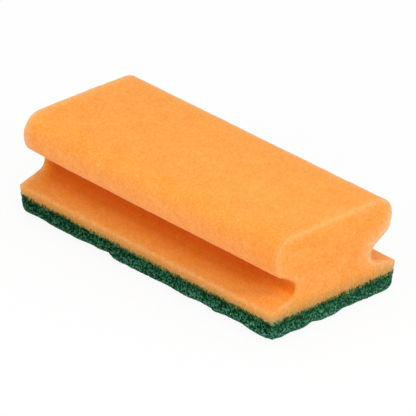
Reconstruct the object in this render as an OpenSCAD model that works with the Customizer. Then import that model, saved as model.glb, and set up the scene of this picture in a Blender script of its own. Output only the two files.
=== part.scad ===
// Cleaning sponge with finger grooves: a contour-cut foam block bonded to a scouring pad.
// Millimetres. X runs along the sponge, Y across it, and Z up from the pad's underside.

/* [Sponge] */
// Length from end face to end face
sponge_length = 152; // [80:1:220]
// Width across the two lips, which is also the width of the foam blank
sponge_width = 70; // [55:1:110]
// Height from the underside of the pad to the top of the crown
sponge_height = 45; // [38:0.5:70]
// Rise of the crown from the shoulders to the middle of the top face
crown_rise = 0.5; // [0:0.1:3]

/* [Foam profile] */
// Height of the upright band at the outer edge of each lip
lip_band = 4.6; // [2:0.1:8]
// Rounding of the lip's upper edge
lip_radius = 0.6; // [0.2:0.1:2]
// How far the lip's band leans in from its upper edge down to the pad
band_lean = 0.8; // [0:0.1:2]
// Depth of the finger groove, from the lip's edge in to where its two walls would meet
groove_depth = 20.1; // [12:0.1:24]
// Height over the pad of the line where the two walls would meet
groove_height = 10.9; // [9:0.1:13]
// Rounding of the groove's root
groove_radius = 4.5; // [1:0.1:7]
// Setback of the grip's lower edge from the lip's edge
brow_setback = 3.8; // [0:0.1:8]
// Height of the grip's lower edge over the pad
brow_height = 20.8; // [17:0.1:25]
// Rounding of the grip's lower edge
brow_radius = 4.5; // [1:0.1:8]
// Rounding of the grip's shoulder, along the long edges of the top face
shoulder_radius = 9; // [2:0.1:12]

/* [Scouring pad] */
// Thickness of the pad
pad_thickness = 8.7; // [7:0.1:12]
// Rounding of the pad's upright corners
pad_corner_radius = 1.5; // [0.5:0.1:8]
// Typical rounding of the pad's lower edge
edge_radius = 2.7; // [0.5:0.1:3.5]
// Lengths of the waves in the lower edge along the sides
side_wave_length = [39, 79, 32, 20]; // [9:1:90]
// Strengths of those waves, where 0 leaves the edge even
side_wave_strength = [0.24, 0.21, 0.16, 0.16]; // [0:0.01:0.25]
// Where a crest of each lies along the front side
side_wave_crest = [-7, 0, 16, 4]; // [-40:1:40]
// Lengths of the waves in the lower edge across the ends
end_wave_length = [19, 35, 9, 14]; // [7:1:60]
// Strengths of those waves, where 0 leaves the edge even
end_wave_strength = [0.24, 0.21, 0.14, 0.11]; // [0:0.01:0.25]
// Where a crest of each lies across the right end
end_wave_crest = [-1, -3, 2, -3]; // [-30:1:30]
// Shift of the same waves on the back side and the left end
wave_shift = 23; // [0:1:60]

/* [Hidden] */
foam_colour = [0.99, 0.65, 0.33];
pad_colour = [0.17, 0.34, 0.24];
// Facets of a full circle
arc_fn = 128;
// Lets an arc run into the flats beside it instead of only touching them
seam = 0.0005;
// Share of a flat that the arcs at its two ends may take up
arc_share = 0.98;
// Steps across the crown
crown_steps = 8;
// Spacing of the points round the pad, steps up its lower edge and steps round a corner
rim_spacing = 3;
edge_steps = 5;
corner_steps = 4;
// Overshoot of what is trimmed off flush
trim = 2;

half_width = sponge_width / 2;
// Half sizes of the joint between the foam and the pad
joint_half = [sponge_length / 2, half_width - band_lean];

// Outline of the foam, as corners given by their place across, their height and their rounding

right_side = [
    [joint_half[1], pad_thickness, 0],
    [half_width, pad_thickness + lip_band, lip_radius],
    [half_width - groove_depth, pad_thickness + groove_height, groove_radius],
    [half_width - brow_setback, pad_thickness + brow_height, brow_radius],
    [half_width, sponge_height - crown_rise, shoulder_radius],
];
crown_reach = half_width - 1.6 * shoulder_radius;
top_face = [
    for (k = [0:crown_steps])
        let (across = crown_reach * (1 - 2 * k / crown_steps))
        [across, sponge_height - crown_rise * pow(across / half_width, 2), 0]
];
left_side = [
    for (i = [len(right_side) - 1:-1:0])
        [-right_side[i][0], right_side[i][1], right_side[i][2]]
];
foam_outline = concat(right_side, top_face, left_side);

// Rounding of an outline's corners

function place(corners, i) =
    let (c = corners[(i + len(corners)) % len(corners)])
    [c[0], c[1]];

function toward(a, b) = (b - a) / norm(b - a);

// Half of the angle between the two edges that meet at a corner
function half_angle(corners, i) =
    let (p = place(corners, i))
    acos(toward(p, place(corners, i - 1)) * toward(p, place(corners, i + 1))) / 2;

// Distance from a corner to the ends of an arc of its full rounding
function full_reach(corners, i) =
    corners[(i + len(corners)) % len(corners)][2] / tan(half_angle(corners, i));

// How much of the full rounding fits on the edge to a neighbour
function fit_beside(corners, i, next) =
    arc_share * norm(place(corners, i + next) - place(corners, i))
    / max(seam, full_reach(corners, i) + full_reach(corners, i + next));

function rounding(corners, i) =
    corners[i][2] * min(1, fit_beside(corners, i, -1), fit_beside(corners, i, 1));

function reach(corners, i) = rounding(corners, i) / tan(half_angle(corners, i));

// The point on the edge to a neighbour, at a distance from the corner
function along_edge(corners, i, next, distance) =
    let (p = place(corners, i))
    p + distance * toward(p, place(corners, i + next));

function arc_centre(corners, i) =
    let (
        p = place(corners, i),
        bisector = toward(p, place(corners, i - 1)) + toward(p, place(corners, i + 1))
    )
    p + bisector / norm(bisector) * rounding(corners, i) / sin(half_angle(corners, i));

function is_hollow(corners, i) =
    let (p = place(corners, i))
    cross(p - place(corners, i - 1), place(corners, i + 1) - p) < 0;

function arc_ends(corners, i) =
    corners[i][2] == 0
    ? [place(corners, i)]
    : [for (next = [-1, 1]) along_edge(corners, i, next, reach(corners, i))];

// The slice of a corner's circle that lies between its two edges
module corner_slice(corners, i) {
    radius = rounding(corners, i);
    centre = arc_centre(corners, i);
    past_arc = reach(corners, i) + radius / 20;
    rim = [
        along_edge(corners, i, -1, past_arc),
        place(corners, i),
        along_edge(corners, i, 1, past_arc),
    ];
    translate(centre)
        intersection() {
            circle(r = radius + seam, $fn = arc_fn);
            polygon(concat([[0, 0]], [for (p = rim) (p - centre) * 2]));
        }
}

// The outline with true arcs: a full corner gains its slice and a hollow one loses it
module rounded_outline(corners) {
    rounded = [for (i = [0:len(corners) - 1]) if (corners[i][2] > 0) i];
    difference() {
        union() {
            polygon([for (i = [0:len(corners) - 1]) each arc_ends(corners, i)]);
            for (i = rounded)
                if (!is_hollow(corners, i))
                    corner_slice(corners, i);
        }
        for (i = rounded)
            if (is_hollow(corners, i))
                corner_slice(corners, i);
    }
}

module foam_body() {
    color(foam_colour)
        rotate([90, 0, 90])
            linear_extrude(height = sponge_length, center = true)
                rounded_outline(foam_outline);
}

// Rim of the pad, as points with their outward normals

corner_centre = joint_half - [pad_corner_radius, pad_corner_radius];

function corner_arc(start, signs) = [
    for (k = [0:corner_steps])
        let (
            angle = start + 90 * k / corner_steps,
            normal = [cos(angle), sin(angle)]
        )
        [[signs[0] * corner_centre[0], signs[1] * corner_centre[1]] + pad_corner_radius * normal, normal]
];

corner_arcs = [
    corner_arc(0, [1, 1]),
    corner_arc(90, [-1, 1]),
    corner_arc(180, [-1, -1]),
    corner_arc(270, [1, -1]),
];

// Evenly spaced points between the end of one corner and the start of the next
function straight_rim(from, to) =
    let (steps = ceil(norm(to[0] - from[0]) / rim_spacing))
    [for (k = [1:steps - 1]) [from[0] + (to[0] - from[0]) * k / steps, from[1]]];

pad_rim = [
    for (i = [0:3])
        each concat(corner_arcs[i], straight_rim(corner_arcs[i][corner_steps], corner_arcs[(i + 1) % 4][0]))
];

// Waves of the pad's lower edge

function wave_sum(lengths, strengths, crests, at) =
    [for (i = [0:len(lengths) - 1]) cos(360 * (at - crests[i]) / lengths[i])] * strengths;

// Rounding of the lower edge at a point of the rim: at a crest the edge stands out, rounded less
function edge_rounding(p, normal) =
    let (
        along = p[0] - (normal[1] > 0 ? wave_shift : 0),
        across = p[1] - (normal[0] < 0 ? wave_shift : 0),
        side = wave_sum(side_wave_length, side_wave_strength, side_wave_crest, along),
        end = wave_sum(end_wave_length, end_wave_strength, end_wave_crest, across)
    )
    edge_radius * exp(-side * pow(normal[1], 2) - end * pow(normal[0], 2));

// A ring of points at an angle up the lower edge, from 0 at the underside to 90 at the wall
function edge_ring(angle, drop = 0) = [
    for (r = pad_rim)
        let (
            rounding = edge_rounding(r[0], r[1]),
            p = r[0] - r[1] * rounding * (1 - sin(angle))
        )
        [p[0], p[1], rounding * (1 - cos(angle)) - drop]
];

// The pad with some stock above and below, closed by fans about a middle point
module pad_blank() {
    n = len(pad_rim);
    rings = concat(
        [edge_ring(0, trim)],
        [for (k = [0:edge_steps]) edge_ring(90 * k / edge_steps)],
        [[for (r = pad_rim) [r[0][0], r[0][1], pad_thickness + trim]]]
    );
    top = (len(rings) - 1) * n;
    middles = [[0, 0, -trim], [0, 0, pad_thickness + trim]];
    under_middle = top + n;
    top_middle = top + n + 1;
    walls = [
        for (ring = [0:n:top - n], i = [0:n - 1])
            let (
                a = ring + i,
                b = ring + (i + 1) % n
            )
            each [[a, a + n, b], [b, a + n, b + n]]
    ];
    ends = [
        for (i = [0:n - 1])
            let (j = (i + 1) % n)
            each [[under_middle, i, j], [top_middle, top + j, top + i]]
    ];
    polyhedron(
        points = concat([for (ring = rings) each ring], middles),
        faces = concat(walls, ends)
    );
}

module scouring_pad() {
    color(pad_colour)
        intersection() {
            pad_blank();
            translate([-sponge_length, -sponge_width, 0])
                cube([sponge_length * 2, sponge_width * 2, pad_thickness]);
        }
}

foam_body();
scouring_pad();
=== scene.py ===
import itertools
import math

import bpy
import numpy as np
from mathutils import Matrix, Vector
from mathutils.bvhtree import BVHTree


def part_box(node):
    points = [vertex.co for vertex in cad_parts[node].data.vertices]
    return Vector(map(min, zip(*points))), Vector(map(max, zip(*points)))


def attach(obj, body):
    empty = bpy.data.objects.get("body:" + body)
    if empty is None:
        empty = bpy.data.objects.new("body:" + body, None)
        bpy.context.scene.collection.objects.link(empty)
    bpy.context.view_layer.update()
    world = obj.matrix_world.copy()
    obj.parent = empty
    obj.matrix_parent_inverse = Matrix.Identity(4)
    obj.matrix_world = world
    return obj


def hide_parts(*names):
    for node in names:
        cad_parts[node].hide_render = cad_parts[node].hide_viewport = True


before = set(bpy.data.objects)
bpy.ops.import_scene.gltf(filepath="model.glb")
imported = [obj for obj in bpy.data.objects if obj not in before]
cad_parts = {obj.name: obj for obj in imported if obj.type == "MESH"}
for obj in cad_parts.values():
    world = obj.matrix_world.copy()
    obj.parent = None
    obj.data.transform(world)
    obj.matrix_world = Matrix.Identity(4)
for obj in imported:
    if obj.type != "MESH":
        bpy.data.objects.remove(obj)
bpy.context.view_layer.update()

MM = 0.001
SEED = 20

# Places read from the frame, in metres
_, FOAM_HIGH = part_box("foam_body")
_, PAD_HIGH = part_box("scouring_pad")
SPONGE_HEIGHT = FOAM_HIGH.z
JOINT_Z = PAD_HIGH.z
HALF_LENGTH = FOAM_HIGH.x
MIDDLE = Vector((0, 0, SPONGE_HEIGHT / 2))


# Noise and mesh helpers

def lattice_value(ix, iy, iz, seed):
    """A repeatable value from 0 to 1 at each whole-number lattice point."""
    h = (ix * 374761393 + iy * 668265263 + iz * 2147483647 + seed * 974634777) & 0xFFFFFFFF
    h = ((h ^ (h >> 13)) * 1274126177) & 0xFFFFFFFF
    h = ((h ^ (h >> 16)) * 2246822519) & 0xFFFFFFFF
    return (h ^ (h >> 15)) / 0xFFFFFFFF


def ripple(points, size, seed):
    """Smooth noise from -1 to 1 whose features are about size across."""
    p = np.asarray(points, float) / size
    base = np.floor(p).astype(np.int64)
    f = p - base
    f = f * f * (3 - 2 * f)
    total = np.zeros(len(p))
    for corner in itertools.product((0, 1), repeat=3):
        weight = np.where(corner, f, 1 - f).prod(axis=1)
        total += weight * lattice_value(*(base + corner).T, seed)
    return total * 2 - 1


def fading(distance, reach, power=2):
    """1 at no distance, and nearly 0 at twice the reach."""
    return np.exp(-(distance / reach) ** power)


def unit(vectors):
    return vectors / np.linalg.norm(vectors, axis=-1, keepdims=True)


def bump_height(along, bumps):
    """The sum of some bumps, from their (place, half-width, height) in millimetres."""
    return sum(height * MM * fading(along / MM - place, width) for place, width, height in bumps)


def new_object(name, points, faces):
    """A smooth mesh object from its points and faces."""
    mesh = bpy.data.meshes.new(name)
    mesh.from_pydata([tuple(p) for p in points], [], [tuple(int(i) for i in f) for f in faces])
    mesh.polygons.foreach_set("use_smooth", [True] * len(mesh.polygons))
    mesh.update()
    obj = bpy.data.objects.new(name, mesh)
    bpy.context.scene.collection.objects.link(obj)
    return obj


def read_vectors(items, name):
    flat = np.empty(len(items) * 3)
    items.foreach_get(name, flat)
    return flat.reshape(-1, 3)


def read_points(mesh):
    return read_vectors(mesh.vertices, "co")


def pushed_out(mesh, push):
    """The mesh's points, each moved out along its normal."""
    return read_points(mesh) + read_vectors(mesh.vertex_normals, "vector") * push[:, None]


def layered(points, layers):
    """The sum of some layers of ripples."""
    return sum(height * ripple(points, size, SEED + seed) for size, height, seed in layers)


def store(obj, name, values):
    """Keep a number at each point for the material to read."""
    kept = obj.data.attributes.new(name, "FLOAT", "POINT")
    kept.data.foreach_set("value", np.asarray(values, np.float32))


def write_points(mesh, points):
    mesh.vertices.foreach_set("co", points.ravel())
    mesh.update()


# The sponge's left end is cut a little out of square: how far it leans along X from the middle
# of the joint to the back edge, and from mid height to the top
CUT_SKEW = 0.75 * MM
CUT_LEAN = -0.20 * MM


def skew_left_end(points):
    """Shear the left half so that its cut end stands a little out of square."""
    share = np.clip(-points[:, 0] / HALF_LENGTH, 0, None)
    lean = (points[:, 2] - SPONGE_HEIGHT / 2) / (SPONGE_HEIGHT / 2)
    points[:, 0] += share * (CUT_SKEW * points[:, 1] / FOAM_HIGH.y + CUT_LEAN * lean)
    return points


# Foam body

# Spacing of the foam's points, rounding of its cut edges, and how far it swells past the CAD form
GRID = 0.74 * MM
CUT_EDGE = 0.80 * MM
CUT_EDGE_STEPS = 3
SWELL = 0.12 * MM
FOAM_LAYERS = [
    # size of the ripples, height, seed
    (34 * MM, 0.10 * MM, 1),
    (7 * MM, 0.06 * MM, 2),
    (1.6 * MM, 0.06 * MM, 3),
    (0.9 * MM, 0.05 * MM, 4),
]
# How near a plane a point counts as on it, in a CAD mesh and in the foam's own
CAD_TOLERANCE = 0.001 * MM
ON_PLANE = 0.01 * MM
# How far under the top the section's top may start
FLAT_TOP = 0.6 * MM
# The heights between which a finger groove is deepest, and how far over its root the grip starts
GROOVE_HEIGHTS = (JOINT_Z + 2 * MM, SPONGE_HEIGHT * 0.7)
GRIP_OVER_ROOT = 6 * MM
# Where the middle of the grip's lower edge and of its shoulder face (y, z)
BROW_FACING = (0.61, -0.79)
SHOULDER_FACING = (0.61, 0.79)

# The foam's foot hangs a little over the pad, by a ragged amount
FOOT_DROP = 1.05 * MM
FOOT_RAGGED = 0.65 * MM
FOOT_GRAIN = 1.7 * MM
FOOT_WIDTH = 0.2 * MM
# Where it hangs lower along a side and across an end: place, half-width and how much, in millimetres
FOOT_SIDE_BUMPS = [(-61, 9, 0.27), (-43, 6, -0.13), (0, 8, -0.17), (20, 7, 0.17), (42, 14, 0.12)]
FOOT_END_BUMPS = [(-24, 12, -0.21), (4, 4, -0.10), (26, 9, 0.08)]
# The front edge of the grip's underside has sagged a little, though not at its left end
BROW_SAG = 0.50 * MM
BROW_SPREAD = 3.2 * MM
BROW_FROM_LEFT = 14 * MM

RIMS = {
    # edge: how pale the light that seeps through makes it, and how far over the faces
    "left": (0.66, 2.6 * MM),
    "lip": (0.20, 1.6 * MM),
    "shoulder": (0.40, 3.0 * MM),
}
RIM_POWER = 1.4
# The right end's, round most of it and at the back, where that starts (y) and its share by height
RIGHT_RIM = (0.25, 1.7 * MM)
BACK_RIM = (0.88, 3.2 * MM)
BACK_ACROSS = (9 * MM, 15 * MM)
BACK_HEIGHTS = (14 * MM, 24 * MM, 34 * MM, 45 * MM)
BACK_SHARES = (0.50, 1.0, 1.0, 0.0)
# Paleness of a cut end's foot, and up to where it fades
FOOT_PALE = 0.03
FOOT_PALE_TOP = 30 * MM
# Painted pink light on the grip's lower side, and the middle of the ends is pinker: how far, from
# where and how much
PINK_LIGHT_REACH = 6.0 * MM
PINK_LIGHT_RISE = (2.0 * MM, 3.9 * MM)
PINK_LIGHT_FROM_RIGHT = 14 * MM
END_BLUSH = 0.50
END_BLUSH_HEIGHT = 24 * MM
END_BLUSH_REACH = 12 * MM
# Painted light: a patch of the top is lit brighter, and so yellower: its middle and half sizes
# (x, y), and where it comes in (z)
LIGHT_PATCH_MIDDLE = (34 * MM, -7 * MM)
LIGHT_PATCH_REACH = (60 * MM, 21 * MM)
LIGHT_PATCH_HEIGHTS = (41 * MM, 44.3 * MM)
# Painted shade: the grip's front is darker, and so redder, toward the right end: from which
# height down and how far in
RIGHT_SHADE_HEIGHTS = (42.5 * MM, 44.5 * MM)
RIGHT_SHADE_REACH = 26 * MM
# How far under the grip its lower side is still fully lit
GRIP_LIGHT = 5.0 * MM
# How much of the groove's shade there is on the lip already
LIP_SHADE = 0.25
# How far in the groove is lit through each cut end, at these depths, and how suddenly that stops
END_LIGHT = {"left": (4.2 * MM, 4.2 * MM, 1.6), "right": (26 * MM, 16 * MM, 3.2)}
END_LIGHT_DEPTHS = (0.30, 0.80)
# How much of that light is missing at the front root, and the depths between which it goes
ROOT_DARK = {"left": 0.70, "right": 0.88}
ROOT_DEPTHS = (0.68, 0.95)
# How far in from a cut end's very edge it is whole again
EDGE_LIGHT = 0.8 * MM
# The foam glows where that light comes through the right end: from how far in to how near the
# edge, and the depths between which this comes in
GLOW_REACH = (7 * MM, 1.6 * MM)
GLOW_DEPTHS = (0.50, 0.85)


def end_outline(node_name):
    """The outline of a node's right end face as (y, z) points in order, read from its mesh."""
    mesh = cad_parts[node_name].data
    at_end = {v.index for v in mesh.vertices if abs(v.co.x - HALF_LENGTH) < CAD_TOLERANCE}
    key = {i: (round(mesh.vertices[i].co.y, 7), round(mesh.vertices[i].co.z, 7)) for i in at_end}
    uses = set()
    for poly in mesh.polygons:
        if all(i in at_end for i in poly.vertices):
            loop = [key[i] for i in poly.vertices]
            uses.update(zip(loop, loop[1:] + loop[:1]))
    # An edge that is used one way only lies on the outline
    follows = {a: b for a, b in uses if (b, a) not in uses}
    outline = [min(follows)]
    while follows[outline[-1]] != outline[0]:
        outline.append(follows[outline[-1]])
    return np.array(outline)


def spread(chain, count):
    """A chain of points resampled to count + 1 points at even distances."""
    along = np.concatenate([[0], np.cumsum(np.linalg.norm(np.diff(chain, axis=0), axis=1))])
    at = np.linspace(0, along[-1], count + 1)
    return np.column_stack([np.interp(at, along, values) for values in chain.T])


def chain_length(chain):
    return float(np.linalg.norm(np.diff(chain, axis=0), axis=1).sum())


def foam_section():
    """The right side of the section, from the joint up to the start of the top, and half the top."""
    outline = end_outline("foam_body")
    right = outline[outline[:, 0] > CAD_TOLERANCE]
    corner = min(range(len(right)), key=lambda i: (round(right[i][1], 6), -right[i][0]))
    right = np.roll(right, -corner, axis=0)
    over_flat = right[:-1, 1] > FOAM_HIGH.z - FLAT_TOP
    top_start = int(np.argmax(over_flat & (right[1:, 0] < right[:-1, 0])))
    return right[: top_start + 1], np.vstack([right[top_start:], [[0, FOAM_HIGH.z]]])


def foam_ring():
    """The section as a closed anticlockwise ring from its lower left corner, and how many steps
    it takes up each side and across the top and bottom."""
    side, top = foam_section()
    rows = round(chain_length(side) / GRID)
    columns = 2 * round(chain_length(top) / GRID)
    side = spread(side, rows)
    top = spread(top, columns // 2)
    mirror = np.array([-1, 1])
    top_row = np.vstack([top, (top * mirror)[::-1][1:]])
    across = np.linspace(-side[0][0], side[0][0], columns + 1)
    bottom_row = np.column_stack([across, np.full(columns + 1, JOINT_Z)])
    ring = np.vstack([bottom_row[:-1], side[:-1], top_row[:-1], (side * mirror)[::-1][:-1]])
    return ring, rows, columns


def end_stations():
    """Distances along X, closer together where the cut edges are rounded."""
    rounding = CUT_EDGE * (1 - np.cos(np.linspace(0, math.pi / 2, CUT_EDGE_STEPS + 1)))
    inner = HALF_LENGTH - CUT_EDGE - GRID / 2
    count = round(2 * inner / GRID)
    middle = np.linspace(-inner, inner, count + 1)
    return np.concatenate([-HALF_LENGTH + rounding, middle, HALF_LENGTH - rounding[::-1]])


def edge_inset(x):
    """How far the section draws in at x for the rounded cut edge."""
    into = np.clip(CUT_EDGE - (HALF_LENGTH - np.abs(x)), 0, CUT_EDGE)
    return CUT_EDGE - np.sqrt(CUT_EDGE**2 - into**2)


def outward(ring):
    """Outward directions of a closed ring of (y, z) points that runs anticlockwise."""
    tangent = unit(unit(np.roll(ring, -1, axis=0) - ring) + unit(ring - np.roll(ring, 1, axis=0)))
    return np.column_stack([tangent[:, 1], -tangent[:, 0]])


def wall_points(ring, out, stations):
    """The section at every station, drawn in for the rounded cut edges."""
    drawn_in = np.where(ring[:, 1:] > JOINT_Z + ON_PLANE, out, out * (1, 0))
    return np.vstack([
        np.column_stack([np.full(len(ring), x), ring - drawn_in * edge_inset(x)]) for x in stations
    ])


def wall_faces(n, count):
    """Quads between each of count rings of n points and the next."""
    s, i = np.meshgrid(np.arange(count - 1), np.arange(n), indexing="ij")
    a = s * n + i
    b = s * n + (i + 1) % n
    return np.column_stack([a.ravel(), b.ravel(), (b + n).ravel(), (a + n).ravel()])


def end_grid(rows, columns, first, first_inside):
    """The point numbers of an end face, row by row: its rim is the ring that starts at first."""
    n = 2 * (rows + columns)
    up, across = np.arange(rows + 1), np.arange(columns + 1)
    grid = np.empty((rows + 1, columns + 1), int)
    grid[0] = first + across
    grid[:, columns] = first + columns + up
    grid[rows] = first + columns + rows + across[::-1]
    grid[:, 0] = first + (n - up) % n
    inside = np.arange((rows - 1) * (columns - 1)).reshape(rows - 1, columns - 1)
    grid[1:rows, 1:columns] = first_inside + inside
    return grid


def end_points(points, grid):
    """The points inside an end face, spread between the two sides of its rim."""
    left, right = points[grid[1:-1, 0]], points[grid[1:-1, -1]]
    share = np.arange(1, grid.shape[1] - 1) / (grid.shape[1] - 1)
    return (left[:, None] + (right - left)[:, None] * share[:, None]).reshape(-1, 3)


def end_faces(grid, flipped):
    quads = np.stack([grid[:-1, :-1], grid[:-1, 1:], grid[1:, 1:], grid[1:, :-1]], axis=-1)
    quads = quads.reshape(-1, 4)
    return quads[:, ::-1] if flipped else quads


def make_foam():
    """The foam block: the section along X, closed by a grid at each cut end."""
    ring, rows, columns = foam_ring()
    out, stations = outward(ring), end_stations()
    points = wall_points(ring, out, stations)
    faces = [wall_faces(len(ring), len(stations))]
    marks = [wall_marks(ring, out, stations)]
    for end, first in (("left", 0), ("right", len(points) - len(ring))):
        grid = end_grid(rows, columns, first, len(points))
        inside = end_points(points, grid)
        points = np.vstack([points, inside])
        faces.append(end_faces(grid, flipped=end == "left"))
        marks.append(end_marks(end, inside[:, 1:], ring[columns:]))

    foam = new_object("foam_grip", points, np.vstack(faces))
    for name, values in zip(MARKS, np.hstack(marks)):
        store(foam, name, values)
    # A painted pool of light on the top
    store(foam, "light_patch", painted_light_patch(points))
    store(foam, "hung", 0.5 + foot_bumps(points) / MM)
    sharpen_foot(foam, len(ring), columns, len(stations))
    roughen_foam(foam, ring[facing(ring, out, BROW_FACING)])
    return foam


def sharpen_foot(foam, n, columns, count):
    """Shade the edge round the foam's underside as sharp."""
    at = np.arange(n * count)
    around, station = at % n, at // n
    on_end = (station == 0) | (station == count - 1)
    foot = np.zeros(len(foam.data.vertices), bool)
    foot[at] = (around == 0) | (around == columns) | ((around < columns) & on_end)
    edges = np.empty(len(foam.data.edges) * 2, np.int64)
    foam.data.edges.foreach_get("vertices", edges)
    foam.data.edges.foreach_set("use_edge_sharp", foot[edges.reshape(-1, 2)].all(axis=1))


def foot_bumps(points):
    """How much lower than elsewhere the foam's foot hangs at each point's place round it."""
    on_end = np.abs(points[:, 0]) > HALF_LENGTH - CUT_EDGE
    at_end = bump_height(points[:, 1], FOOT_END_BUMPS)
    return np.where(on_end, at_end, bump_height(points[:, 0], FOOT_SIDE_BUMPS))


def roughen_foam(foam, brow):
    """Small waves of a wire-cut soft block, the grain of its cells, a sagging brow and the foot."""
    p = read_points(foam.data)
    push = layered(p, FOAM_LAYERS) + SWELL
    from_brow = np.hypot(np.abs(p[:, 1]) - brow[0], p[:, 2] - brow[1])
    sag = np.where(p[:, 1] < 0, BROW_SAG, 0) * (1 - fading(p[:, 0] + HALF_LENGTH, BROW_FROM_LEFT))
    push += sag * fading(from_brow, BROW_SPREAD)
    # The face on the pad stays flat, and only its rim hangs over
    at_joint = p[:, 2] < JOINT_Z + ON_PLANE
    on_end = np.abs(p[:, 0]) > HALF_LENGTH - CUT_EDGE
    at_rim = at_joint & (on_end | (np.abs(p[:, 1]) > PAD_HIGH.y - FOOT_WIDTH))
    push[at_joint & ~at_rim] = 0
    p = pushed_out(foam.data, push)
    p[at_joint, 2] = JOINT_Z
    ragged = ripple(p, FOOT_GRAIN, SEED + 5) * FOOT_RAGGED - foot_bumps(p)
    p[at_rim, 2] = JOINT_Z - FOOT_DROP + ragged[at_rim]
    write_points(foam.data, skew_left_end(p))


# Places round the foam's section, and what its material reads there

# The marks that the material reads: painted groove shade, light glowing through the right end, painted
# shade on the grip's front, painted edge light, and pinkness
MARKS = ("deep", "glow", "right_shade", "rim", "pinkness")


def groove_root(ring):
    """The point of the section where the finger grooves are deepest."""
    across, height = np.abs(ring[:, 0]), ring[:, 1]
    in_groove = (height > GROOVE_HEIGHTS[0]) & (height < GROOVE_HEIGHTS[1])
    return int(np.argmin(np.where(in_groove, across, across.max())))


def groove_depth(ring):
    """How far in the shade each point of the section is: 0 in the open, 1 at a groove's root."""
    across, height = np.abs(ring[:, 0]), ring[:, 1]
    root = groove_root(ring)
    lower = height <= height[root]
    mouth = across.max() - np.where(lower, 0, GRIP_LIGHT)
    depth = np.clip((mouth - across) / (mouth - across[root]), 0, 1)
    depth = np.where(lower, LIP_SHADE + (1 - LIP_SHADE) * depth, depth)
    return np.where(height < GROOVE_HEIGHTS[1], depth, 0)


def on_grip(ring):
    return ring[:, 1] > ring[groove_root(ring), 1] + GRIP_OVER_ROOT


def facing(ring, out, toward):
    """The point of the grip's right side that faces most nearly in a direction."""
    on_right = (ring[:, 0] > 0) & on_grip(ring)
    return int(np.argmax(np.where(on_right, out @ np.array(toward), -2)))


def seeping(distance, strength, reach):
    """The painted paleness of light seeping through an edge of the foam, at a distance from it."""
    return strength * fading(distance, reach, RIM_POWER)


def long_edges(ring, out):
    """Painted light along the lips' upper edges and the back shoulder, at each point of the section."""
    across, height = np.abs(ring[:, 0]), ring[:, 1]
    lower = height <= height[groove_root(ring)]
    edge = int(np.argmax(np.where(lower, across, 0)))
    shoulder = ring[facing(ring, out, SHOULDER_FACING)]
    return np.maximum(
        seeping(np.hypot(across - across[edge], height - height[edge]), *RIMS["lip"]),
        seeping(np.hypot(*(ring - shoulder).T), *RIMS["shoulder"]),
    )


def grip_pink_light(ring, out):
    """Painted pink light at each point of the section, most a little above the grip's lower edge."""
    middle = ring[facing(ring, out, BROW_FACING)] + PINK_LIGHT_RISE
    return fading(np.hypot(np.abs(ring[:, 0]) - middle[0], ring[:, 1] - middle[1]), PINK_LIGHT_REACH)


def end_rim(end, places, distance):
    """The painted edge light that a cut end's edge gives at (y, z) places at some distance from it."""
    if end == "left":
        return seeping(distance, *RIMS["left"])
    across, height = places.T
    at_back = np.interp(across, BACK_ACROSS, (0, 1)) * np.interp(height, BACK_HEIGHTS, BACK_SHARES)
    strength, reach = (front + (back - front) * at_back for front, back in zip(RIGHT_RIM, BACK_RIM))
    return seeping(distance, strength, reach)


def end_light(end, depth, at_root, from_end):
    """The share of the grooves' shade that light through a cut end takes away."""
    *reach, power = END_LIGHT[end]
    let_in = fading(from_end, np.interp(depth, END_LIGHT_DEPTHS, reach), power)
    return np.maximum(let_in * (1 - ROOT_DARK[end] * at_root), fading(from_end, EDGE_LIGHT))


def wall_marks(ring, out, stations):
    """What the material reads at each point of the walls, station by station."""
    depth, edge_rim, pink = groove_depth(ring), long_edges(ring, out), grip_pink_light(ring, out)
    front = ring[:, 0] < 0
    # Painted shade on the grip's front, below these heights and toward the right end
    shaded_front = np.where(front & on_grip(ring), np.interp(ring[:, 1], RIGHT_SHADE_HEIGHTS, (1, 0)), 0)
    at_root = np.where(front, np.interp(depth, ROOT_DEPTHS, (0, 1)), 0)
    glowing = np.where(front, np.interp(depth, GLOW_DEPTHS, (0, 1)), 0)
    marks = []
    for x in stations:
        end = "left" if x < 0 else "right"
        from_end, from_right = HALF_LENGTH - abs(x), HALF_LENGTH - x
        far, near = (fading(from_right, reach) for reach in GLOW_REACH)
        at_end = end_rim(end, ring, from_end) * (1 - depth if end == "right" else 1)
        marks.append((
            depth * (1 - end_light(end, depth, at_root, from_end)),
            glowing * (far - near),
            shaded_front * fading(from_right, RIGHT_SHADE_REACH),
            np.maximum(at_end, edge_rim),
            pink * (1 - fading(from_right, PINK_LIGHT_FROM_RIGHT)),
        ))
    return np.hstack(marks)


def end_marks(end, inside, cut_edge):
    """What the material reads at (y, z) places inside an end face."""
    nearest = np.sqrt(((inside[:, None] - cut_edge[None]) ** 2).sum(axis=2)).min(axis=1)
    pale_foot = FOOT_PALE * np.clip((FOOT_PALE_TOP - inside[:, 1]) / (FOOT_PALE_TOP - JOINT_Z), 0, 1)
    rim = np.maximum(end_rim(end, inside, nearest), pale_foot)
    pinkness = END_BLUSH * fading(inside[:, 1] - END_BLUSH_HEIGHT, END_BLUSH_REACH)
    none = np.zeros(len(inside))
    return np.array([none, none, none, rim, pinkness])


# How much of the painted pool of light on the top each point has
def painted_light_patch(points):
    away = (points[:, :2] - LIGHT_PATCH_MIDDLE) / LIGHT_PATCH_REACH
    return np.exp(-(away ** 2).sum(axis=1)) * np.interp(points[:, 2], LIGHT_PATCH_HEIGHTS, (0, 1))


# Scouring pad

# The pad's core: the spacing of its points, its roughness, and how far it is drawn in so that the
# fibres lie over it
CORE_VOXEL = 0.56 * MM
CORE_LAYERS = [
    # size of the ripples, height, seed
    (6 * MM, 0.15 * MM, 11),
    (2.2 * MM, 0.22 * MM, 12),
    (1.2 * MM, 0.26 * MM, 13),
]
CORE_SINK = 0.45 * MM
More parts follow.
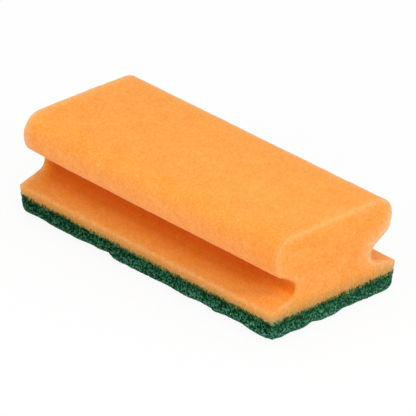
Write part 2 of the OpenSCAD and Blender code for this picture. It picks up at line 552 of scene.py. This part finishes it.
# From how near the joint on it stays flat, and the gaps that it leaves over the floor and there
CORE_FLAT = 0.05 * MM
CORE_OVER_FLOOR = 0.05 * MM
CORE_UNDER_JOINT = 0.02 * MM
# The pad's lower corners are worn a little rounder than its edges
CORNER_WEAR = 1.0 * MM
CORNER_SPREAD = 3.4 * MM
# Small wear of the lower edge, over what the solid has: place along the edge, half-width and how
# far it stands out, in millimetres
SIDE_BUMPS = [
    (-71, 4, -0.30), (-51, 9, -0.42), (-36, 4, -0.50), (-29, 2.2, 0.38), (-24, 2.2, -0.75),
    (-12, 2.2, -0.34), (6, 9, -0.28), (30, 4, -0.34), (41, 1.6, 0.45), (47, 2.2, -0.36),
]
END_BUMPS = [(-28, 1.6, 0.36), (-23, 1.6, -0.2), (-10, 1.6, -0.34), (14, 9, -0.24), (32, 2.2, 0.2)]
BUMP_REACH = 3.2 * MM
# The layer over the floor that what rests on it is pressed into
FLOOR_LAYER = (0.01 * MM, 0.10 * MM)

# The share of fibres and beads on the pad's sides, where its underside has the rest, and how
# upright the normals of its top and underside are
SIDE_SHARE = 0.72
UPRIGHT = 0.9
# How much of its last turn a strand keeps at each point, and how much its lift over the pad changes
TURN_KEPT = 0.6
LIFT_CHANGE = 0.08 * MM
# Directions of a strand's three sides, and how many radii its tips stand out
STRAND_SIDES = (90, 210, 330)
STRAND_TIP = 2

# Fibres: how many, the points of each, the step and the turn between them, its radius and lift
FIBRE_PIECES = 3
FIBRES_EACH = 4500
FIBRE_POINTS = 6
FIBRE_STEP = 0.80 * MM
FIBRE_TURN = 0.38
FIBRE_RADIUS = (0.07 * MM, 0.13 * MM)
FIBRE_LIFT = (-0.30 * MM, 0.14 * MM)

# The same for the fibre ends at the joint, with how far under it they start, in millimetres, and
# how much the step differs from one to the next
FRINGE_COUNT = 1500
FRINGE_POINTS = 4
FRINGE_STEP = 0.45 * MM
FRINGE_STEP_RANGE = (0.6, 1.4)
FRINGE_TURN = 0.30
FRINGE_DROP = (0.5, 1.1)
FRINGE_RADIUS = (0.06 * MM, 0.11 * MM)
FRINGE_LIFT = (0.08 * MM, 0.26 * MM)

# Beads of grit: how many, their radius, how far over the pad they sit, in millimetres, and how
# uneven they are
GRIT_COUNT = 2600
GRIT_RADIUS = (0.12 * MM, 0.26 * MM)
GRIT_LIFT = (-0.22, 0.04)
GRIT_UNEVEN = (0.6, 1.2)


def shape_pad(points):
    """Wear the lower corners of the pad, keep it on the floor and skew its left end."""
    reach = np.abs(points) - np.array([PAD_HIGH.x, PAD_HIGH.y, 0])
    pull = CORNER_WEAR * fading(np.sqrt((reach ** 2).sum(axis=1)), CORNER_SPREAD)
    inward = np.column_stack([-np.sign(points[:, 0]), -np.sign(points[:, 1]), np.ones(len(points))])
    points = points + inward * pull[:, None] / math.sqrt(3)
    for across, bumps in ((1, SIDE_BUMPS), (0, END_BUMPS)):
        from_edge = np.hypot(np.abs(points[:, across]) - PAD_HIGH[across], points[:, 2])
        push = fading(from_edge, BUMP_REACH) * bump_height(points[:, 1 - across], bumps) / math.sqrt(2)
        points[:, across] += np.sign(points[:, across]) * push
        points[:, 2] -= push
    return skew_left_end(rest_on_floor(points))


def rest_on_floor(points):
    """Press what is near or under the floor into a thin layer just over it."""
    least, most = FLOOR_LAYER
    under = np.minimum(points[:, 2] - most, 0) / (most - least)
    points[:, 2] = np.where(under < 0, least + (most - least) * np.exp(under), points[:, 2])
    return points


def make_core():
    """The pad's body: the CAD form remeshed evenly, drawn in a little and roughened."""
    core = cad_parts["scouring_pad"].copy()
    core.data = core.data.copy()
    core.name = "fleece_core"
    core.parent = None
    for key in list(core.keys()):
        del core[key]
    bpy.context.scene.collection.objects.link(core)
    remesh = core.modifiers.new("even", "REMESH")
    remesh.mode = "VOXEL"
    remesh.voxel_size = CORE_VOXEL
    shaped = core.evaluated_get(bpy.context.evaluated_depsgraph_get())
    mesh = bpy.data.meshes.new_from_object(shaped)
    core.modifiers.clear()
    core.data = mesh
    p = read_points(mesh)
    push = layered(p, CORE_LAYERS) - CORE_SINK
    push[p[:, 2] > JOINT_Z - CORE_FLAT] = 0
    p = pushed_out(mesh, push)
    p[:, 2] = np.clip(p[:, 2], CORE_OVER_FLOOR, JOINT_Z - CORE_UNDER_JOINT)
    write_points(mesh, shape_pad(p))
    mesh.polygons.foreach_set("use_smooth", [True] * len(mesh.polygons))
    return core


def triangles_of(*names):
    """The corners of all triangles of some CAD nodes."""
    found = []
    for name in names:
        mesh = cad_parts[name].data
        mesh.calc_loop_triangles()
        points = read_points(mesh)
        found.append(points[np.array([t.vertices[:] for t in mesh.loop_triangles])])
    return np.vstack(found)


def search_tree(corners):
    points = [Vector(p) for p in corners.reshape(-1, 3)]
    return BVHTree.FromPolygons(points, [(k, k + 1, k + 2) for k in range(0, len(points), 3)])


def scatter(corners, count, rng):
    """Random points on the pad's sides and underside."""
    cross = np.cross(corners[:, 1] - corners[:, 0], corners[:, 2] - corners[:, 0])
    area = np.linalg.norm(cross, axis=1) / 2
    upward = cross[:, 2] / np.maximum(area * 2, 1e-12)
    weight = np.where(upward > UPRIGHT, 0, area)
    under = upward < -UPRIGHT
    weight[under] *= (1 - SIDE_SHARE) / weight[under].sum()
    weight[~under] *= SIDE_SHARE / weight[~under].sum()
    picks = rng.choice(len(area), count, p=weight / weight.sum())
    mix = rng.dirichlet((1, 1, 1), count)
    return (corners[picks] * mix[:, :, None]).sum(axis=1)


def wander(tree, rng, start, heading, count, step, turning, lifts):
    """A line that keeps to a surface and turns by chance, with the surface's normal at each point."""
    place, up, _, _ = tree.find_nearest(Vector(start))
    turn = rng.normal(0, turning)
    lift = rng.uniform(*lifts)
    line, ups = [], []
    for _ in range(count):
        line.append(tuple(place + up * lift))
        ups.append(tuple(up))
        heading = (heading - up * heading.dot(up)).normalized()
        turn = TURN_KEPT * turn + rng.normal(0, turning)
        heading.rotate(Matrix.Rotation(turn, 3, up))
        lift = min(max(lift + rng.normal(0, LIFT_CHANGE), lifts[0]), lifts[1])
        place, up, _, _ = tree.find_nearest(place + heading * step)
    return line, ups


def strands(name, lines, ups, radius, rng):
    """A piece of many strands, each with a chance tone."""
    points, faces = tubes(np.array(lines), np.array(ups), radius)
    made = new_object(name, shape_pad(points), faces)
    store(made, "tone", np.repeat(rng.random(len(lines)), len(points) // len(lines)))
    return made


def make_fibres(index, corners, tree):
    """One layer of crimped fibres over the pad's sides and underside."""
    rng = np.random.default_rng(SEED + 100 + index)
    starts = scatter(corners, FIBRES_EACH, rng)
    shape = FIBRE_POINTS, FIBRE_STEP, FIBRE_TURN, FIBRE_LIFT
    walks = [wander(tree, rng, start, Vector(rng.normal(size=3)), *shape) for start in starts]
    radius = rng.uniform(*FIBRE_RADIUS, FIBRES_EACH)
    return strands(f"fleece_fibres_{index + 1}", *zip(*walks), radius, rng)


def make_fringe(tree):
    """Fibre ends that stand up over the foam along the joint."""
    rng = np.random.default_rng(SEED + 200)
    half = (PAD_HIGH.x, PAD_HIGH.y)
    around = 4 * (half[0] + half[1])
    walks = []
    for at in np.sort(rng.uniform(0, around, FRINGE_COUNT)):
        place = rim_place(at, half)
        drop = rng.uniform(*FRINGE_DROP) * MM + foot_bumps(np.array([place]))[0]
        shape = FRINGE_POINTS, FRINGE_STEP * rng.uniform(*FRINGE_STEP_RANGE), FRINGE_TURN, FRINGE_LIFT
        walks.append(wander(tree, rng, (*place, JOINT_Z - drop), Vector((0, 0, 1)), *shape))
    radius = rng.uniform(*FRINGE_RADIUS, FRINGE_COUNT)
    return strands("fleece_fringe", *zip(*walks), radius, rng)


def rim_place(at, half):
    """The place on a rectangle's outline at a distance along it from its front left corner."""
    x, y = half
    corners = [(-x, -y), (x, -y), (x, y), (-x, y), (-x, -y)]
    for start, end in zip(corners, corners[1:]):
        length = math.dist(start, end)
        if at <= length:
            return tuple(a + (b - a) * at / length for a, b in zip(start, end))
        at -= length
    return corners[-1]


def make_grit(corners, tree):
    """Beads of resin and grit that sit on the fibres."""
    rng = np.random.default_rng(SEED + 300)
    ball, shell = icosahedron()
    points = []
    for start in scatter(corners, GRIT_COUNT, rng):
        place, up, _, _ = tree.find_nearest(Vector(start))
        centre = np.array(place + up * rng.uniform(*GRIT_LIFT) * MM)
        uneven = ball * rng.uniform(*GRIT_UNEVEN, ball.shape)
        points.append(centre + uneven * rng.uniform(*GRIT_RADIUS))
    faces = repeated(shell, GRIT_COUNT, len(ball))
    grit = new_object("fleece_grit", shape_pad(np.vstack(points)), faces)
    store(grit, "tone", np.repeat(rng.random(GRIT_COUNT), len(ball)))
    return grit


def icosahedron():
    """The corners of an icosahedron of radius 1, and its faces, all facing out."""
    golden = (1 + math.sqrt(5)) / 2
    pairs = itertools.product((-1, 1), (-golden, golden))
    ball = np.array([p for s, t in pairs for p in ((0, s, t), (s, t, 0), (t, 0, s))])
    ball /= np.linalg.norm(ball[0])
    apart = np.linalg.norm(ball[:, None] - ball[None], axis=2)
    # Neighbours are one side apart, but for rounding
    close = apart < min(apart[0, 1:]) * 1.01
    faces = []
    for a, b, c in itertools.combinations(range(len(ball)), 3):
        if close[a, b] and close[b, c] and close[a, c]:
            out = np.dot(np.cross(ball[b] - ball[a], ball[c] - ball[a]), ball[a])
            faces.append((a, b, c) if out > 0 else (a, c, b))
    return ball, np.array(faces)


def repeated(faces, count, step):
    """The same faces for each of many bodies, whose points start this many apart."""
    return (faces[None] + np.arange(count)[:, None, None] * step).reshape(-1, 3)


def tubes(lines, ups, radius):
    """Closed three-sided tubes along many lines of as many points each."""
    count, n = lines.shape[:2]
    along = unit(np.gradient(lines, axis=1))
    side = unit(np.cross(along, ups))
    top = np.cross(side, along)
    angles = np.radians(STRAND_SIDES)[:, None]
    offset = np.cos(angles) * side[:, :, None] + np.sin(angles) * top[:, :, None]
    rings = lines[:, :, None, :] + offset * radius[:, None, None, None]
    first = lines[:, 0] - along[:, 0] * radius[:, None] * STRAND_TIP
    last = lines[:, -1] + along[:, -1] * radius[:, None] * STRAND_TIP
    walls = rings.reshape(count, -1, 3)
    points = np.concatenate([walls, first[:, None], last[:, None]], axis=1)
    faces = tube_faces(n, len(angles))
    return points.reshape(-1, 3), repeated(faces, count, points.shape[1])


def tube_faces(n, sides):
    """The faces of one tube of n rings, whose two tips come after the rings' points."""
    faces = []
    first_tip, last_ring = n * sides, (n - 1) * sides
    for k in range(0, last_ring, sides):
        for j in range(sides):
            a, b = k + j, k + (j + 1) % sides
            faces.append((a, b, b + sides))
            faces.append((a, b + sides, a + sides))
    for j in range(sides):
        a, b = j, (j + 1) % sides
        faces.append((b, a, first_tip))
        faces.append((a + last_ring, b + last_ring, first_tip + 1))
    return np.array(faces)[:, ::-1]


# Materials

def material(name):
    """A new node material and its Principled shader."""
    mat = bpy.data.materials.new(name)
    mat.use_nodes = True
    tree = mat.node_tree
    shader = next(n for n in tree.nodes if n.type == "BSDF_PRINCIPLED")
    return mat, tree, shader


def feed(tree, socket, value):
    """Link a socket to another one, or set it to a number or a colour."""
    if isinstance(value, bpy.types.NodeSocket):
        tree.links.new(value, socket)
    else:
        socket.default_value = (*value, 1) if isinstance(value, tuple) else value


def node(tree, kind, **settings):
    """A new node, with what its properties and its sockets are set or linked to."""
    made = tree.nodes.new(kind)
    for key, value in settings.items():
        if hasattr(made, key):
            setattr(made, key, value)
        else:
            feed(tree, made.inputs[key], value)
    return made


def ramp(tree, value, stops):
    """A colour ramp on a value, from (position, colour) stops."""
    made = node(tree, "ShaderNodeValToRGB", Fac=value)
    elements = made.color_ramp.elements
    while len(elements) < len(stops):
        elements.new(0.5)
    for element, (position, colour) in zip(elements, stops):
        element.position = position
        element.color = (*colour, 1)
    return made.outputs["Color"]


def mix_colour(tree, amount, a, b, blend="MIX"):
    made = node(tree, "ShaderNodeMix", data_type="RGBA", blend_type=blend)
    # The factor and the two colours have these numbers among its sockets
    for index, value in ((0, amount), (6, a), (7, b)):
        feed(tree, made.inputs[index], value)
    return made.outputs[2]


def maths(tree, operation, a, b=None, clamp=False):
    made = node(tree, "ShaderNodeMath", operation=operation, use_clamp=clamp)
    feed(tree, made.inputs[0], a)
    if b is not None:
        feed(tree, made.inputs[1], b)
    return made.outputs[0]


def multiplied(tree, colour, factor):
    return mix_colour(tree, 1.0, colour, factor, "MULTIPLY")


def tinted(tree, share, colour, factor):
    """A colour that is multiplied by a factor to some share."""
    return mix_colour(tree, share, colour, multiplied(tree, colour, factor))


def object_place(tree):
    return node(tree, "ShaderNodeTexCoord").outputs["Object"]


def parts_of(tree, place):
    """The x, y and z of a place."""
    return node(tree, "ShaderNodeSeparateXYZ", Vector=place).outputs


def stored(tree, name):
    """A number that the mesh keeps at each point."""
    return node(tree, "ShaderNodeAttribute", attribute_name=name).outputs["Fac"]


def noise(tree, place, scale, detail):
    made = node(tree, "ShaderNodeTexNoise", Vector=place, Scale=scale, Detail=detail)
    return made.outputs["Fac"]


def cells(tree, place, scale):
    """The distance from the middle of the nearest of some scattered cells."""
    made = node(tree, "ShaderNodeTexVoronoi", Vector=place, Scale=scale, Randomness=1.0)
    return made.outputs["Distance"]


def near_cut_end(tree, x, depth):
    """1 at a cut end, and 0 from this depth into the sponge on."""
    inset = maths(tree, "SUBTRACT", HALF_LENGTH, maths(tree, "ABSOLUTE", x))
    return maths(tree, "SUBTRACT", 1.0, maths(tree, "DIVIDE", inset, depth, clamp=True))


def set_surface(tree, shader, colour, roughness, gloss):
    feed(tree, shader.inputs["Base Color"], colour)
    feed(tree, shader.inputs["Roughness"], roughness)
    feed(tree, shader.inputs["Specular IOR Level"], gloss)


def raise_surface(tree, shader, height, strength, distance):
    bump = node(tree, "ShaderNodeBump", Height=height, Strength=strength, Distance=distance)
    feed(tree, shader.inputs["Normal"], bump.outputs["Normal"])


# Foam's material

# The foam's colour wanders between two, by a noise of this scale
MOTTLE_SCALE = 130
FOAM_MOTTLE = [(0.35, (0.92, 0.322, 0.046)), (0.65, (0.94, 0.347, 0.057))]
# Painted light: the pale colour of light seeping through the foam's edges
FOAM_EDGE_LIGHT = (0.85, 0.57, 0.26)
# How the colour shifts where the foam is pinkest, with painted pink light on the grip, under the
# painted pool of light on the top, and under painted shade at the right end of the grip's front
FOAM_TINTS = {
    "pinkness": (1.0, 1.01, 1.47),
    "light_patch": (1.0, 1.075, 1.03),
    "right_shade": (1.0, 0.92, 0.93),
}
# And where light comes through it
FOAM_GLOW = (1.16, 1.06, 0.80)
# Painted shade inside a groove: what is left of the colour, from its mouth to its root
FOAM_GROOVE_SHADE = [
    (0.00, (1.00, 1.00, 1.00)),
    (0.25, (0.865, 0.86, 0.88)),
    (0.42, (0.895, 0.865, 0.77)),
    (0.57, (0.885, 0.80, 0.63)),
    (0.71, (0.85, 0.69, 0.42)),
    (0.86, (0.75, 0.50, 0.24)),
    (0.97, (0.66, 0.315, 0.10)),
]
# Pale specks: their colour and its share, the scale of the cells they sit in, their size in one,
# and the scale and least value of the noise that lets one show
FOAM_SPECK = (0.95, 0.52, 0.22)
SPECK_SHARE = 0.7
SPECK_SCALE = 260
SPECK_SIZE = 0.13
SPECK_PATCHES = (420, 0.70)
# The grain: the scale, detail and share of its noises, and how it shifts the colour
GRAIN_NOISES = [(850, 1, 0.6), (1700, 0, 0.4)]
FOAM_GRAIN = [(0.30, (0.95, 0.86, 0.48)), (0.70, (1.02, 1.13, 1.64))]
# The pores' scale, strength and depth
PORE_SCALE = 1700
PORE_STRENGTH = 0.5
PORE_DEPTH = 0.12 * MM
# Roughness and gloss
FOAM_SURFACE = (0.95, 0.05)
FOAM_SHEEN = {"Weight": 0.55, "Roughness": 0.34, "Tint": (1.0, 0.84, 0.66)}
# The dark fleece shows through the foam's open cells, and painted shade stands for the light that
# the dark pad takes from the foot: what is left of its colour at heights over the joint
SHOW_AND_SHADE_HEIGHT = 5.5 * MM
SHOW_AND_SHADE = [
    # share of that height, colour left
    (0.00, (0.07, 0.46, 0.90)),
    (0.07, (0.25, 0.68, 1.30)),
    (0.14, (0.39, 0.76, 1.24)),
    (0.33, (0.64, 0.83, 1.12)),
    (0.60, (0.84, 0.92, 1.03)),
    (1.00, (1.00, 1.00, 1.00)),
]
# How ragged its edge is, and the scale of the noise that makes it so
SHOW_AND_SHADE_RAGGED = 4.6 * MM
SHOW_AND_SHADE_SCALE = 1100
# How deep into the cut ends it differs, how much higher it is there, how much of that is lost
# with each metre across the end, and how much further up it fades
SHOW_AND_SHADE_END_DEPTH = 1.6 * MM
SHOW_AND_SHADE_END_RISE = 0.15 * MM
SHOW_AND_SHADE_END_SLOPE = 0.014
SHOW_AND_SHADE_END_MORE = 2.2 * MM
# How much higher the darkening reaches on the front toward the right end, and from where on
SHOW_AND_SHADE_RIGHT_RISE = 0.60 * MM
SHOW_AND_SHADE_RIGHT_FROM = 10 * MM


def foam_material():
    """Fine open cells: mottled orange, painted pale edges, specks, the dark fleece behind its foot and
    painted shade there.
    """
    mat, tree, shader = material("foam")
    place = object_place(tree)
    colour = ramp(tree, noise(tree, place, MOTTLE_SCALE, 2), FOAM_MOTTLE)
    # Painted pale edges where light seeps through
    colour = mix_colour(tree, stored(tree, "rim"), colour, FOAM_EDGE_LIGHT)
    # Pinkness with painted pink light, the painted pool of light on the top and painted shade
    for name, factor in FOAM_TINTS.items():
        colour = tinted(tree, stored(tree, name), colour, factor)
    colour = mix_colour(tree, speck_share(tree, place), colour, FOAM_SPECK)
    # Painted shade in the grooves
    colour = multiplied(tree, colour, ramp(tree, stored(tree, "deep"), FOAM_GROOVE_SHADE))
    colour = tinted(tree, stored(tree, "glow"), colour, FOAM_GLOW)
    first, second = (
        maths(tree, "MULTIPLY", noise(tree, place, scale, detail), share)
        for scale, detail, share in GRAIN_NOISES
    )
    colour = multiplied(tree, colour, ramp(tree, maths(tree, "ADD", first, second), FOAM_GRAIN))
    # The dark fleece showing through the foot, with painted shade there
    colour = multiplied(tree, colour, ramp(tree, show_and_shade_share(tree, place), SHOW_AND_SHADE))
    set_surface(tree, shader, colour, *FOAM_SURFACE)
    for name, value in FOAM_SHEEN.items():
        feed(tree, shader.inputs[f"Sheen {name}"], value)
    raise_surface(tree, shader, cells(tree, place, PORE_SCALE), PORE_STRENGTH, PORE_DEPTH)
    return mat


def speck_share(tree, place):
    """How much of the colour of a pale speck there is at a place."""
    scale, least = SPECK_PATCHES
    rare = maths(tree, "GREATER_THAN", noise(tree, place, scale, 0), least)
    small = maths(tree, "LESS_THAN", cells(tree, place, SPECK_SCALE), SPECK_SIZE)
    return maths(tree, "MULTIPLY", maths(tree, "MULTIPLY", small, rare), SPECK_SHARE)


def show_and_shade_share(tree, place):
    """How far up the darkened foot a place is: 0 where it is darkest, and 1 over it."""
    x, y, z = parts_of(tree, place)
    at_end = near_cut_end(tree, x, SHOW_AND_SHADE_END_DEPTH)
    inside = maths(tree, "SUBTRACT", 1.0, at_end)
    # Raggedly, less at the ends and to the right, and as the foot hangs
    ragged = maths(tree, "SUBTRACT", noise(tree, place, SHOW_AND_SHADE_SCALE, 1), 0.5)
    ragged = maths(tree, "MULTIPLY", ragged, SHOW_AND_SHADE_RAGGED)
    across = maths(tree, "MULTIPLY", y, SHOW_AND_SHADE_END_SLOPE)
    end_rise = maths(tree, "MULTIPLY", at_end, maths(tree, "SUBTRACT", SHOW_AND_SHADE_END_RISE, across))
    from_middle = maths(tree, "SUBTRACT", x, SHOW_AND_SHADE_RIGHT_FROM)
    right = maths(tree, "DIVIDE", from_middle, HALF_LENGTH - SHOW_AND_SHADE_RIGHT_FROM, clamp=True)
    right = maths(tree, "MULTIPLY", right, maths(tree, "LESS_THAN", y, 0.0))
    right_rise = maths(tree, "MULTIPLY", maths(tree, "MULTIPLY", right, inside), SHOW_AND_SHADE_RIGHT_RISE)
    hung = maths(tree, "MULTIPLY", maths(tree, "SUBTRACT", stored(tree, "hung"), 0.5), MM)
    drop = maths(tree, "SUBTRACT", maths(tree, "SUBTRACT", ragged, end_rise), right_rise)
    drop = maths(tree, "ADD", drop, hung)
    above = maths(tree, "ADD", maths(tree, "SUBTRACT", z, JOINT_Z - FOOT_DROP), drop)
    height = maths(tree, "ADD", maths(tree, "MULTIPLY", at_end, SHOW_AND_SHADE_END_MORE), SHOW_AND_SHADE_HEIGHT)
    return maths(tree, "DIVIDE", above, height, clamp=True)


# Fleece's materials

# Right under the foam the fleece is darker and greener: what is left of its colour there, and how
# deep that reaches
SHADE_UNDER_JOINT = (0.08, 0.45, 0.16)
SHADE_DEPTH = 6.0 * MM
# Painted light: the fleece is darker toward the left end and lighter toward the right: what its
# colour is multiplied by from end to end
LIGHT_ALONG_PAD = [
    (0.0, (0.52, 0.72, 0.64)),
    (0.5, (0.84, 0.96, 0.98)),
    (1.0, (1.22, 1.32, 1.45)),
]
# The cut ends of the pad are covered in part by a felt of fibre ends: its colour and share, how
# deep this goes, and the share of that depth at which it starts to fade
CUT_COLOUR = (0.082, 0.270, 0.152)
CUT_SHARE = 0.20
CUT_DEPTH = 1.6 * MM
CUT_FADES_AT = 0.5
# The core's hollows and humps, with painted shade that makes the hollows nearly black, the scale
# of the noise that makes them, and their strength and depth
CORE_COLOUR_AND_SHADE = [(0.40, (0.001, 0.012, 0.003)), (0.62, (0.008, 0.095, 0.032))]
CORE_SCALE = 1050
CORE_STRENGTH = 0.8
CORE_DEPTH = 0.3 * MM
CORE_SURFACE = (0.9, 0.05)
# A fibre's colour goes from dark over green to pale dust by its own tone, with this share and
# from this least value, and by a noise of this scale and strength
FIBRE_RAMP = [
    (0.05, (0.001, 0.025, 0.007)),
    (0.55, (0.015, 0.155, 0.065)),
    (0.95, (0.160, 0.400, 0.250)),
]
FIBRE_TONE = 0.5
FIBRE_LEAST = 0.2
DUST_SCALE = 1030
DUST_STRENGTH = 3.9
FIBRE_SURFACE = (0.75, 0.12)
# The fringe from dark to tan, and the grit from green to pale, each by a strand's or bead's tone
FRINGE_RAMP = [(0.55, (0.018, 0.052, 0.016)), (0.95, (0.130, 0.125, 0.045))]
FRINGE_SURFACE = (0.8, 0.1)
GRIT_RAMP = [(0.2, (0.020, 0.150, 0.070)), (0.9, (0.170, 0.390, 0.260))]
GRIT_SURFACE = (0.7, 0.15)


def fleece_tone(tree, place, colour):
    """Painted light paler to the right, paler at the pad's cut ends, painted shade right under the
    foam.
    """
    x, _, z = parts_of(tree, place)
    along = maths(tree, "ADD", maths(tree, "MULTIPLY", x, 0.5 / HALF_LENGTH), 0.5, clamp=True)
    # Painted light along the pad
    colour = multiplied(tree, colour, ramp(tree, along, LIGHT_ALONG_PAD))
    felt = maths(tree, "MULTIPLY", near_cut_end(tree, x, CUT_DEPTH), 1 / CUT_FADES_AT, clamp=True)
    colour = mix_colour(tree, maths(tree, "MULTIPLY", felt, CUT_SHARE), colour, CUT_COLOUR)
    under_joint = maths(tree, "SUBTRACT", JOINT_Z, z)
    below = maths(tree, "DIVIDE", under_joint, SHADE_DEPTH, clamp=True)
    shade = ramp(tree, below, [(0.0, SHADE_UNDER_JOINT), (1.0, (1.0, 1.0, 1.0))])
    return multiplied(tree, colour, shade)


def core_material():
    """The fleece's depth: painted shade makes it nearly black green in the hollows, green on the humps.
    """
    mat, tree, shader = material("fleece_depth")
    place = object_place(tree)
    blotch = noise(tree, place, CORE_SCALE, 2)
    colour = fleece_tone(tree, place, ramp(tree, blotch, CORE_COLOUR_AND_SHADE))
    set_surface(tree, shader, colour, *CORE_SURFACE)
    raise_surface(tree, shader, blotch, CORE_STRENGTH, CORE_DEPTH)
    return mat


def fibre_material():
    """Nylon fibres in green grit: most are dark or mid green, and a few catch pale dust."""
    mat, tree, shader = material("fleece_fibre")
    place = object_place(tree)
    dust = maths(tree, "SUBTRACT", noise(tree, place, DUST_SCALE, 1), 0.5)
    dust = maths(tree, "MULTIPLY", dust, DUST_STRENGTH)
    tone = maths(tree, "MULTIPLY", stored(tree, "tone"), FIBRE_TONE)
    tone = maths(tree, "ADD", maths(tree, "ADD", tone, FIBRE_LEAST), dust, clamp=True)
    colour = fleece_tone(tree, place, ramp(tree, tone, FIBRE_RAMP))
    set_surface(tree, shader, colour, *FIBRE_SURFACE)
    return mat


def fringe_material():
    """Fibre ends at the joint, some caught in the foam's melted skin."""
    mat, tree, shader = material("fleece_fringe")
    set_surface(tree, shader, ramp(tree, stored(tree, "tone"), FRINGE_RAMP), *FRINGE_SURFACE)
    return mat


def grit_material():
    """Beads of resin and grit, paler than the fibres."""
    mat, tree, shader = material("fleece_grit")
    colour = ramp(tree, stored(tree, "tone"), GRIT_RAMP)
    set_surface(tree, shader, fleece_tone(tree, object_place(tree), colour), *GRIT_SURFACE)
    return mat


# Floor, light and camera

FLOOR_SIZE = 6.0
FLOOR_COLOUR = (0.88, 0.88, 0.88)
FLOOR_WHITE = 0.90
SKY_STRENGTH = 0.60
# Soft lamps: azimuth and elevation in degrees, and the light that each throws on a face square to
# it, where 1 makes a white face white
LAMPS = {
    "front": (8, 29, 0.30),
    "right": (88, 36, 0.36),
    "top": (200, 78, 0.19),
}
LAMP_DISTANCE = 1.6
LAMP_SIZE = 1.3


def seen_directly(tree):
    """1 for a ray from the camera, and for one that a gloss or glass sends on."""
    path = node(tree, "ShaderNodeLightPath")
    glossy = maths(tree, "MAXIMUM", path.outputs["Is Camera Ray"], path.outputs["Is Glossy Ray"])
    return maths(tree, "MAXIMUM", glossy, path.outputs["Is Transmission Ray"])


def make_floor():
    half = FLOOR_SIZE / 2
    points = [(-half, -half, 0), (half, -half, 0), (half, half, 0), (-half, half, 0)]
    floor = new_object("floor", points, [(0, 1, 2, 3)])
    mat, tree, shader = material("floor")
    set_surface(tree, shader, FLOOR_COLOUR, 1.0, 0.0)
    out = next(n for n in tree.nodes if n.type == "OUTPUT_MATERIAL")
    seen = seen_directly(tree)
    white = node(tree, "ShaderNodeEmission", Strength=1.0)
    blend = node(tree, "ShaderNodeMixShader", Fac=maths(tree, "MULTIPLY", seen, FLOOR_WHITE))
    tree.links.new(shader.outputs[0], blend.inputs[1])
    tree.links.new(white.outputs[0], blend.inputs[2])
    tree.links.new(blend.outputs[0], out.inputs["Surface"])
    floor.data.materials.append(mat)


def make_sky():
    world = bpy.data.worlds.new("studio")
    bpy.context.scene.world = world
    world.use_nodes = True
    tree = world.node_tree
    back = next(n for n in tree.nodes if n.type == "BACKGROUND")
    seen = seen_directly(tree)
    feed(tree, back.inputs["Color"], (1, 1, 1))
    strength = maths(tree, "ADD", maths(tree, "MULTIPLY", seen, 1.0 - SKY_STRENGTH), SKY_STRENGTH)
    feed(tree, back.inputs["Strength"], strength)


def direction(azimuth, elevation):
    """From the sponge toward a place seen at these angles in degrees, 0 being the front."""
    a, e = math.radians(azimuth), math.radians(elevation)
    return Vector((math.sin(a) * math.cos(e), -math.cos(a) * math.cos(e), math.sin(e)))


def make_lamps():
    for name, (azimuth, elevation, level) in LAMPS.items():
        data = bpy.data.lights.new(name, "AREA")
        data.shape = "SQUARE"
        data.size = LAMP_SIZE
        away = direction(azimuth, elevation)
        # A square lamp of power P and size s has radiance P / (pi s^2)
        share_of_sky = LAMP_SIZE ** 2 / (math.pi * LAMP_DISTANCE ** 2 + LAMP_SIZE ** 2 / 2)
        data.energy = level / share_of_sky * math.pi * LAMP_SIZE ** 2
        lamp = bpy.data.objects.new(name, data)
        lamp.location = MIDDLE + away * LAMP_DISTANCE
        lamp.rotation_mode = "QUATERNION"
        lamp.rotation_quaternion = away.to_track_quat("Z", "Y")
        bpy.context.scene.collection.objects.link(lamp)


# The photograph's view: azimuth, elevation and roll in degrees, distance in metres
VIEW_AZIMUTH = 46.53
VIEW_ELEVATION = 27.86
VIEW_ROLL = 0.62
VIEW_DISTANCE = 2.556
FRAME_PIXELS = 416
# Pixels to a metre at the middle of the sponge, and the pixel that this middle falls on
PIXELS_PER_METRE = 2425.9
MIDDLE_PIXEL = (205.97, 202.37)
# In millimetres, and what the camera can see, in metres
SENSOR_WIDTH = 36
CLIP = (0.05, 50)


def make_camera():
    back = direction(VIEW_AZIMUTH, VIEW_ELEVATION)
    roll = math.radians(VIEW_ROLL)
    right = direction(VIEW_AZIMUTH + 90, 0)
    up = back.cross(right)
    tilted = right * math.cos(roll) + up * math.sin(roll)
    raised = back.cross(tilted)
    data = bpy.data.cameras.new("view")
    data.sensor_width = SENSOR_WIDTH
    data.lens = SENSOR_WIDTH * PIXELS_PER_METRE * VIEW_DISTANCE / FRAME_PIXELS
    data.shift_x = (FRAME_PIXELS / 2 - MIDDLE_PIXEL[0]) / FRAME_PIXELS
    data.shift_y = (MIDDLE_PIXEL[1] - FRAME_PIXELS / 2) / FRAME_PIXELS
    data.clip_start, data.clip_end = CLIP
    camera = bpy.data.objects.new("view", data)
    turn = Matrix((tilted, raised, back)).transposed()
    camera.matrix_world = Matrix.Translation(MIDDLE + back * VIEW_DISTANCE) @ turn.to_4x4()
    bpy.context.scene.collection.objects.link(camera)
    bpy.context.scene.camera = camera


def finish_piece(piece, finish):
    """Give a piece its material and slot, and let it ride with the sponge."""
    piece.data.materials.clear()
    piece.data.materials.append(finish)
    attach(piece, "root")


def dress():
    foam = make_foam()
    finish_piece(foam, foam_material())
    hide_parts("foam_body")

    core = make_core()
    finish_piece(core, core_material())
    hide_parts("scouring_pad")

    pad_corners = triangles_of("scouring_pad")
    pad_tree = search_tree(pad_corners)
    fibre = fibre_material()
    for index in range(FIBRE_PIECES):
        finish_piece(make_fibres(index, pad_corners, pad_tree), fibre)
    finish_piece(make_grit(pad_corners, pad_tree), grit_material())
    both_tree = search_tree(triangles_of("scouring_pad", "foam_body"))
    finish_piece(make_fringe(both_tree), fringe_material())


make_camera()
make_floor()
make_sky()
make_lamps()
dress()
bpy.context.scene.view_settings.view_transform = "Standard"
